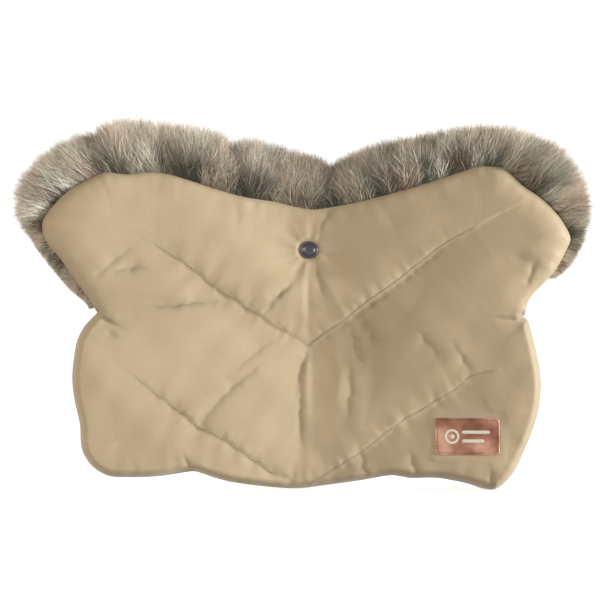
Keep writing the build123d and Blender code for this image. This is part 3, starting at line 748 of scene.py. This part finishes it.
def fur_backing(name, side):
    rows = len(fur_seam)
    angles = np.linspace(0, 2 * math.pi, FUR_SECTION, endpoint=False)
    verts = []
    for i in range(rows):
        end = min(1.0, math.sqrt(min(i, rows - 1 - i) / 3 + 0.05))
        half_w, half_d = fur_size(fur_width[i], fur_middle[i])
        away = 0.29 * fur_width[i] - 0.8 + half_w * end * np.cos(angles)
        p = fur_seam[i] + np.outer(away, fur_out[i])
        y = side * (fur_middle[i] + half_d * end * np.sin(angles))
        verts.append(np.column_stack([p[:, 0], y, p[:, 1]]))
    faces = []
    for i in range(rows - 1):
        for j in range(FUR_SECTION):
            a, b = i * FUR_SECTION + j, i * FUR_SECTION + (j + 1) % FUR_SECTION
            quad = (a, b, b + FUR_SECTION, a + FUR_SECTION)
            faces.append(quad if side < 0 else quad[::-1])
    first = tuple(range(FUR_SECTION))
    last = tuple(range((rows - 1) * FUR_SECTION, rows * FUR_SECTION))
    faces += [first[::-1], last] if side < 0 else [first, last[::-1]]
    return make_mesh(name, np.vstack(verts), faces)


# Places where the pile parts: x at the seam, x at the outer edge, half-width
PARTINGS = [(-56, -76, 5.0), (24, 14, 6.0), (-176, -176, 4.0)]


def fur_hairs(name, side, count, seed, length_scale, hair_width, joints, spread, pick):
    """Hairs as narrow ribbons, rooted on the backing and combed away from the seam and from the middle."""
    r = np.random.default_rng(seed)
    cumulative = np.cumsum(np.clip(fur_width / 45, 0.3, 1.1))
    place = np.interp(r.uniform(0, cumulative[-1], count), cumulative, np.arange(len(fur_seam)))
    place = place[(place >= pick[0] * len(fur_seam)) & (place < pick[1] * len(fur_seam))]
    n = len(place)
    low = np.clip(place.astype(int), 0, len(fur_seam) - 2)
    f = place - low
    seam, out = (v[low] * (1 - f[:, None]) + v[low + 1] * f[:, None] for v in (fur_seam, fur_out))
    along_seam = (fur_width, fur_middle, arc_lengths(fur_seam))
    width, middle, s = (v[low] * (1 - f) + v[low + 1] * f for v in along_seam)
    # roots all round the backing but for the side that is sewn to the cloth, more of them in front and above
    angle = r.uniform(-0.93, 0.93, n) * math.pi
    angle = np.where(r.uniform(size=n) < 0.4, r.uniform(0.2, 0.97, n) * math.pi, angle)
    half_w, half_d = fur_size(width, middle)
    away, deep = 0.29 * width - 0.8 + half_w * np.cos(angle), middle + half_d * np.sin(angle)
    normal_w, normal_d = np.cos(angle) / half_w, np.sin(angle) / half_d
    size = np.hypot(normal_w, normal_d)
    normal_w, normal_d = normal_w / size, normal_d / size
    tangent = np.column_stack([out[:, 1], -out[:, 0]])
    flat = np.column_stack([s, away])
    clump, broad = waves(flat, 11, seed + 5), waves(flat, 42, seed + 6)
    x_lean = 0.42 * np.tanh(seam[:, 0] / 70)  # combed away from the middle on both sides
    lean = 0.2 * clump + 0.15 * broad + r.normal(0, spread, n) + x_lean * tangent[:, 0]
    part = np.zeros(n)
    outer_share = np.clip(away / np.maximum(width, 1), 0, 1)
    for at_seam, at_top, half in PARTINGS:
        off = seam[:, 0] + out[:, 0] * away - (at_seam + (at_top - at_seam) * outer_share)
        close = np.exp(-((off / half) ** 2))
        part = np.maximum(part, close)
        lean += 0.35 * np.sign(off) * close * tangent[:, 0]
    stand = 0.4 + 0.2 * waves(np.column_stack([s, deep]), 20, seed + 7) + r.normal(0, 0.13, n)
    stand = np.where(normal_d < 0, np.minimum(stand, 0.3), stand)
    length = np.clip(width * r.uniform(0.66, 1.06, n) - away, 0.24 * width, 0.72 * width)
    length = np.clip(length * length_scale * r.uniform(0.8, 1.1, n) * (1 - 0.25 * part), 4.0, 32.0)
    pos = [away.copy(), np.zeros(n), deep.copy()]
    head = [np.maximum(0.25, 0.85 + 0.4 * normal_w) + x_lean * out[:, 0] * 0.5, lean, stand * normal_d]
    points = np.zeros((joints + 1, n, 3))
    curl = r.normal(0, 0.3, n) + 0.25 * clump
    for j in range(joints + 1):
        xz = seam + out * pos[0][:, None] + tangent * pos[1][:, None]
        points[j] = np.column_stack([xz[:, 0], side * pos[2], xz[:, 1] - 0.03 * length * (j / joints) ** 2])
        size = np.sqrt(head[0] ** 2 + head[1] ** 2 + head[2] ** 2)
        pos = [a + length / joints * h / size for a, h in zip(pos, head)]
        head = [head[0], head[1] + curl / joints, head[2] * (0.72 if joints > 2 else 0.6)]
    along = np.diff(points, axis=0)
    along = np.concatenate([along, along[-1:]])
    along /= np.linalg.norm(along, axis=2)[..., None]
    facing = np.column_stack([out[:, 0] * normal_w, side * normal_d, out[:, 1] * normal_w])
    turn = r.normal(0, 0.5, n)
    across = np.cross(along, facing[None])
    across /= np.maximum(1e-6, np.linalg.norm(across, axis=2))[..., None]
    across = across * np.cos(turn)[None, :, None] + facing[None] * np.sin(turn)[None, :, None]
    taper = [0.8, 1.0, 0.8, 0.5][:joints] if joints > 2 else [1.0, 0.75]
    wide = hair_width * r.uniform(0.7, 1.3, n)
    verts, alongs = [], []
    for j in range(joints):
        half = (0.5 * wide * taper[j])[:, None]
        verts += [points[j] - across[j] * half, points[j] + across[j] * half]
        alongs += [np.full(n, j / joints)] * 2
    verts.append(points[joints])
    alongs.append(np.ones(n))
    per = 2 * joints + 1
    co = np.stack(verts, axis=1).reshape(-1, 3) * MM
    # light and dark streaks in patches, darker by the seam where the dark roots show and painted shade lies,
    # painted shade in the partings, warmer towards the outer edge
    x = seam[:, 0]
    shade = 0.55 + 0.16 * waves(np.column_stack([s, 0.7 * away]), 26, 71) + 0.22 * waves(flat, 11, 72)
    shade += 0.14 * waves(flat, 5, 75) + r.normal(0, 0.2, n)
    # the partings are darkened with painted shade
    shade += 0.2 * (outer_share - 0.45) - 0.45 * part - 0.12 * bell(x - 85, 42)
    shade += 0.22 * np.clip((-x - 85) / 60, 0, 1) + 0.16 * np.clip((x - 185) / 30, 0, 1)
    # along the seam, in patches: the hairs' dark roots together with painted shade
    patchy = np.clip(0.55 + 1.3 * waves(np.column_stack([s]), 40, 73), 0, 1.4)
    shade -= 0.36 * np.exp(-((away / 8.5) ** 2)) * patchy
    warm = 0.42 + 0.5 * waves(flat, 34, 74) + 0.5 * (outer_share - 0.4) + r.normal(0, 0.14, n)
    base = np.arange(n) * per
    corners = np.array([0, 1, 3, 2])
    quads = np.vstack([base[:, None] + 2 * j + corners for j in range(joints - 1)])
    tips = np.column_stack([base + 2 * joints - 2, base + 2 * joints - 1, base + 2 * joints])
    mesh = bpy.data.meshes.new(name)
    mesh.vertices.add(len(co))
    mesh.vertices.foreach_set("co", co.astype(np.float32).ravel())
    corner = np.concatenate([quads.ravel(), tips.ravel()])
    mesh.loops.add(len(corner))
    mesh.loops.foreach_set("vertex_index", corner.astype(np.int32))
    starts = np.concatenate([np.arange(len(quads)) * 4, len(quads) * 4 + np.arange(len(tips)) * 3])
    mesh.polygons.add(len(starts))
    mesh.polygons.foreach_set("loop_start", starts.astype(np.int32))
    mesh.update(calc_edges=True)
    mesh.polygons.foreach_set("use_smooth", np.ones(len(starts), bool))
    values = {
        "hair_along": np.stack(alongs, axis=1).ravel(),
        "hair_shade": np.repeat(np.clip(shade, 0, 1), per),
        "hair_warm": np.repeat(np.clip(warm, 0, 1), per),
    }
    for attribute, value in values.items():
        mesh.attributes.new(attribute, "FLOAT", "POINT").data.foreach_set("value", value.astype(np.float32))
    mesh.validate()
    obj = bpy.data.objects.new(name, mesh)
    bpy.context.scene.collection.objects.link(obj)
    mesh.materials.append(pile_material)
    return obj


share, widen = ((1.0, 1.0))
for label, side, flap, _, seed in sides:
    base = fur_backing(f"{label}_fur_backing", side)
    base.data.materials.append(backing.material)
    bend(base)
    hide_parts(f"{label}_fur_trim")
    for part, pick in (("left", (0.0, 0.37)), ("middle", (0.37, 0.65)), ("right", (0.65, 1.01))):
        for kind, count, scale, wide, joints, spread in (
            ("undercoat", 66000, 0.7, 0.62, 2, 0.3), ("guard_hair", 78000, 1.0, 0.4, 4, 0.16),
        ):  # fmt: skip
            hairs = fur_hairs(f"{label}_fur_{kind}_{part}", side, int(count * share), seed + joints, scale,
                              wide * widen, joints, spread, pick)  # fmt: skip
            bend(hairs)


# ---------------------------------------------------------------- sewing
def thread_run(name, lines, side, creases, seed, pitch=3.2, length=2.4, radius=0.26, out=0.05, depth_of=None):
    """Short stitches laid along the lines, each dipping into the cloth at both ends."""
    verts, faces = [], []
    for line in lines:
        p = resample(line, pitch)
        mid = (p[:-1] + p[1:]) / 2
        t = np.diff(p, axis=0)
        t /= np.linalg.norm(t, axis=1)[:, None]
        stations = np.array([-0.5, -0.36, 0, 0.36, 0.5]) * length
        lift = np.array([-0.55, -0.1, 0.12, -0.1, -0.55])
        where = mid[:, None, :] + t[:, None, :] * stations[None, :, None]
        flat = where.reshape(-1, 2)
        deep = depth_of(flat) if depth_of else outer_depth(flat, creases, seed)
        deep = deep.reshape(len(mid), 5)
        deep = deep.mean(1)[:, None] * 0.5 + deep * 0.5 + out + lift[None]
        ring = np.array([(math.cos(a), math.sin(a)) for a in np.linspace(0, 2 * math.pi, 7)[:-1]])
        for i in range(len(mid)):
            start = len(verts)
            across = np.array([-t[i, 1], t[i, 0]])
            for j in range(5):
                r = radius * (0.55 if j in (0, 4) else 1.0)
                for c, s in ring:
                    x, z = where[i, j] + across * r * c
                    verts.append((x, side * (deep[i, j] + r * s), z))
            for j in range(4):
                for k in range(6):
                    a, b = start + 6 * j + k, start + 6 * j + (k + 1) % 6
                    faces.append((a, b, b + 6, a + 6))
            faces += [tuple(start + k for k in range(5, -1, -1)), tuple(start + 24 + k for k in range(6))]
    return make_mesh(name, verts, faces)


for label, side, flap, creases, seed in sides:
    lines = [smooth_line(p, 1.0) for p in STITCH_LINES.values()]
    quilt = thread_run(f"{label}_quilting_stitches", lines, side, creases, seed)
    quilt.data.materials.append(thread_material)
    bend(quilt)
    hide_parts(f"{label}_chevron_stitching_upper", f"{label}_chevron_stitching_lower")

# ---------------------------------------------------------------- label
def label_depth(q):
    """The label lies on the cloth's broad shape and not in its small folds."""
    return label_terms(q) @ label_shape


def on_label(q, out):
    q = np.asarray(q, float)
    return np.column_stack([q[:, 0], -(label_depth(q) + out), q[:, 1]])


def rounded_rect(w, h, corner, per=6):
    pts = []
    for sx, sz, a0 in ((1, 1, 0), (-1, 1, 90), (-1, -1, 180), (1, -1, 270)):
        for k in range(per + 1):
            a = math.radians(a0 + 90 * k / per)
            x = sx * (w / 2 - corner) + corner * math.cos(a)
            pts.append((x, sz * (h / 2 - corner) + corner * math.sin(a)))
    return np.array(pts)


def slab(name, outline_points, low, high, place, edge=0.35):
    """A closed flat shape with rounded upper edges, laid over a curved surface by place(points, height)."""
    loop = np.asarray(outline_points, float)
    loop = resample(np.vstack([loop, loop[:1]]), 1.2)[:-1]
    n = len(loop)
    inward = loop.mean(0) - loop
    inward /= np.linalg.norm(inward, axis=1)[:, None]
    top = loop + 1.6 * edge * inward
    rings = [(loop, low), (loop, high - edge), (loop + 0.4 * edge * inward, high - 0.25 * edge), (top, high)]
    across, up = (np.arange(top[:, k].min(), top[:, k].max(), 1.6) for k in (0, 1))
    inner = np.array([(x, z) for x in across for z in up])
    d, _, _ = to_line(inner, np.vstack([top, top[:1]]))
    inner = inner[inside(inner, top) & (d > 0.5)]
    border = [(i, (i + 1) % n) for i in range(n)]
    flat, _, cap, _, _, _ = delaunay_2d_cdt([Vector(p) for p in np.vstack([top, inner])], border, [], 1, 1e-5)
    inner = np.array([(v.x, v.y) for v in flat[n:]]).reshape(-1, 2)
    verts = [place(p, h) for p, h in rings] + [place(inner, h) for h in (high, low) if len(inner)]
    faces = []
    for j in range(3):
        for i in range(n):
            a, b = j * n + i, j * n + (i + 1) % n
            faces.append((a, b, b + n, a + n))
    faces += [tuple(k + 3 * n for k in f) for f in cap]
    faces += [tuple(k if k < n else k + 3 * n + len(inner) for k in reversed(f)) for f in cap]
    return make_mesh(name, np.vstack(verts), faces)


leather = Nodes("rose_gold_leatherette")
grain = leather.noise(700, 4)
sweep = leather.noise(48, 2)
copper = [(0.3, (0.17, 0.065, 0.035)), (0.48, (0.34, 0.15, 0.09)), (0.66, (0.56, 0.32, 0.22))]
leather.link(leather.ramp(sweep, copper), "Base Color")
leather.bump(grain, 0.35, 0.0003)
leather.link(leather.add("MapRange", Value=grain, To_Min=0.3, To_Max=0.42).outputs[0], "Roughness")
leather.set(Metallic=0.4)
print_material = Nodes("label_print")
ivory = [(0.3, (0.72, 0.66, 0.52)), (0.7, (0.82, 0.77, 0.64))]
print_material.link(print_material.ramp(print_material.noise(500), ivory), "Base Color")
print_material.set(Roughness=0.45)
label_thread = cloth_material("label_thread", (0.08, 0.035, 0.02), (0.13, 0.055, 0.035), 1500, 0.6, 0.2, 0.4)

centre_shift = np.array([LABEL_X, LABEL_Z])
patch_outline = rounded_rect(LABEL_W, LABEL_H, 2.0) + centre_shift
patch = slab("label_patch_leatherette", patch_outline, -0.3, LABEL_T, on_label, 0.5)
patch.data.materials.append(leather.material)
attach(patch, "pouch")
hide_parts("label_patch")


def ring_points(x, z, r, n=40):
    angles = np.linspace(0, 2 * math.pi, n, endpoint=False)
    return np.array([(x + r * math.cos(a), z + r * math.sin(a)) for a in angles])


def emblem_ring(name, x, z, outer_r, inner_r, low, high):
    """A flat ring on the label."""
    n = 48
    rows = [(outer_r, low), (outer_r, high), (inner_r, high), (inner_r, low)]
    verts = np.vstack([on_label(ring_points(x, z, r, n), h) for r, h in rows])
    faces = []
    for j in range(4):
        k = (j + 1) % 4
        faces += [(j * n + i, j * n + (i + 1) % n, k * n + (i + 1) % n, k * n + i) for i in range(n)]
    return make_mesh(name, verts, faces, smooth=False)


ring_x, bars_x = LABEL_X - 12.96, LABEL_X + 7.02
emblem_low, emblem_high = LABEL_T - 0.05, LABEL_T + 0.25
emblem = [
    emblem_ring("emblem_ring", ring_x, LABEL_Z, 6.2, 4.3, emblem_low, emblem_high),
    slab("emblem_dot", ring_points(ring_x, LABEL_Z, 1.9), emblem_low, emblem_high, on_label, 0.1),
]
for k, (x, dz, bar_width) in enumerate(((bars_x, 3.7, 23.8), (bars_x - 2.4, -3.7, 19.0))):
    bar = rounded_rect(bar_width, 2.8, 1.39) + np.array([x, LABEL_Z + dz])
    emblem.append(slab(f"emblem_bar_{k + 1}", bar, emblem_low, emblem_high, on_label, 0.1))
for piece in emblem:
    piece.data.materials.append(print_material.material)
    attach(piece, "pouch")
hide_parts("label_emblem")

border = rounded_rect(LABEL_W - 3.4, LABEL_H - 3.4, 1.2) + centre_shift
border = np.vstack([border, border[:1]])
label_sewing = thread_run(
    "label_border_stitches", [border], -1, CREASES, 11, 2.6, 1.5, 0.34, LABEL_T + 0.05, label_depth
)
label_sewing.data.materials.append(label_thread)
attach(label_sewing, "pouch")
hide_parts("label_stitching")

# ---------------------------------------------------------------- seam tape and the CAD nodes that stay
lower = body_line[(arc_lengths(body_line) > 4) & (arc_lengths(body_line) < arc_lengths(body_line)[-1] - 4)]
t = np.gradient(lower, axis=0)
t /= np.linalg.norm(t, axis=1)[:, None]
inward = np.column_stack([t[:, 1], -t[:, 0]])
verts, faces = [], []
for reach, y in ((0.7, -0.12), (6.5, -0.12), (6.5, 0.12), (0.7, 0.12)):
    p = lower + inward * reach
    verts.append(np.column_stack([p[:, 0], np.full(len(p), y), p[:, 1]]))
n = len(lower)
for j in range(4):
    for i in range(n - 1):
        k = (j + 1) % 4
        faces.append((j * n + i, k * n + i, k * n + i + 1, j * n + i + 1))
faces += [(0, n, 2 * n, 3 * n)[::-1], (n - 1, 2 * n - 1, 3 * n - 1, 4 * n - 1)]
seam_tape = make_mesh("perimeter_binding", np.vstack(verts), faces, smooth=False)
seam_tape.data.materials.append(tape_material)
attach(seam_tape, "pouch")
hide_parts("perimeter_seam_tape")

for node, material in {
    "snap_cap": gunmetal, "snap_back_rivet": gunmetal, "snap_socket": inner_metal, "snap_stud": inner_metal,
    "snap_socket_spring": spring_metal,
    "front_snap_washer": washer_material, "back_snap_washer": washer_material,
    "care_label": care_material,
}.items():  # fmt: skip
    cad = bpy.data.objects.get(node) or next(o for o in bpy.data.objects if o.get("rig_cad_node") == node)
    cad.data.materials.clear()
    cad.data.materials.append(material)

# ---------------------------------------------------------------- floor, light, camera
floor_z = min(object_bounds()[0][2], cad_low[2])
WORLD, GLOW = 0.38, 0.85
WARM, COOL = (1.0, 0.94, 0.85), (0.9, 0.94, 1.0)
LIGHTS = [("key", (2.35, -0.65, 0.1), 0.7, 106, COOL), ("fill", (-1.9, -1.4, 0.4), 0.9, 18, WARM)]
stage_material = Nodes("stage_white")
pale = stage_material.ramp(stage_material.noise(2, 1), [(0.3, (0.9, 0.9, 0.9)), (0.7, (0.92, 0.92, 0.92))])
stage_material.link(pale, "Base Color")
stage_material.link(pale, "Emission Color")
stage_material.set(Roughness=0.9, Emission_Strength=GLOW)
bpy.ops.mesh.primitive_plane_add(size=1, location=(0, 0, floor_z))
floor = bpy.context.object
floor.name = "stage_floor"
floor.scale = (9, 9, 1)
bpy.ops.mesh.primitive_uv_sphere_add(radius=8, location=(0, 0, 0), segments=48, ring_count=24)
backdrop = bpy.context.object
backdrop.name = "stage_backdrop"
for piece in (floor, backdrop):
    piece.data.materials.append(stage_material.material)
    piece.visible_diffuse = False  # white all round without washing out the cloth's own shading
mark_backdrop(floor, backdrop)

world = bpy.data.worlds.new("studio")
world.use_nodes = True
world.node_tree.nodes["Background"].inputs["Color"].default_value = (*WARM, 1)
world.node_tree.nodes["Background"].inputs["Strength"].default_value = WORLD
bpy.context.scene.world = world


def softbox(name, place, size, power, colour, target=(0, 0, 0)):
    light = bpy.data.lights.new(name, "AREA")
    light.shape, light.size, light.energy, light.color = "SQUARE", size, power, colour
    obj = bpy.data.objects.new(name, light)
    bpy.context.scene.collection.objects.link(obj)
    obj.location = place
    obj.rotation_mode = "QUATERNION"
    obj.rotation_quaternion = (Vector(target) - Vector(place)).to_track_quat("-Z", "Y")
    return obj


for light in LIGHTS:
    softbox(*light)

camera = bpy.data.objects.new("camera", bpy.data.cameras.new("camera"))
bpy.context.scene.collection.objects.link(camera)
CAMERA_DISTANCE, FRAME_WIDTH = 2.5, 0.516
camera.location = (-0.0077, -CAMERA_DISTANCE, -0.0069)
camera.rotation_euler = (math.pi / 2, 0, 0)
camera.data.sensor_width = 36.0
camera.data.lens = 36.0 * CAMERA_DISTANCE / FRAME_WIDTH
camera.data.clip_end = 50
bpy.context.scene.camera = camera
bpy.context.scene.view_settings.view_transform = "Standard"

low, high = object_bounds()
